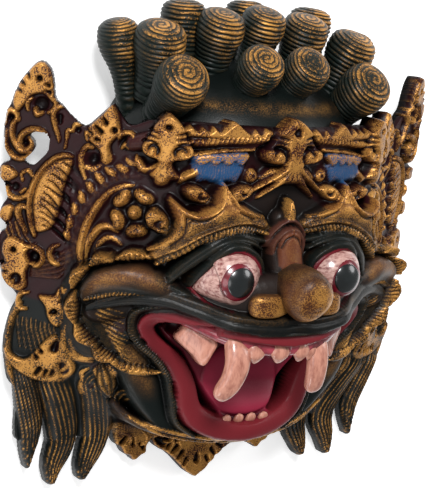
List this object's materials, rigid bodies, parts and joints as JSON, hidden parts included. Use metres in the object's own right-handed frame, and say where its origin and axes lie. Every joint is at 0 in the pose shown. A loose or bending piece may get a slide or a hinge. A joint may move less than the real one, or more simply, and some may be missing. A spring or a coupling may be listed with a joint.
{
  "type": "barong mask",
  "caption": "Carved and painted wooden barong mask with a crown, knobs of hair, pierced ear wings, bulging eyes, fangs and an open mouth, hollow behind.",
  "frame": {"origin": "middle of the outline in plan, on the plane of the flat back rim", "axes": "+Z out of the face, +Y towards the crown, +X to the right of someone who looks at the face"},
  "size_m": [0.3701, 0.3804, 0.1601],
  "materials": {
    "carved_wood": "dark maroon, black and crimson paint on wood, rubbed with gold on the high places"
  },
  "bodies": {
    "root": {"mask": "carved_wood"}
  },
  "joints": []
}
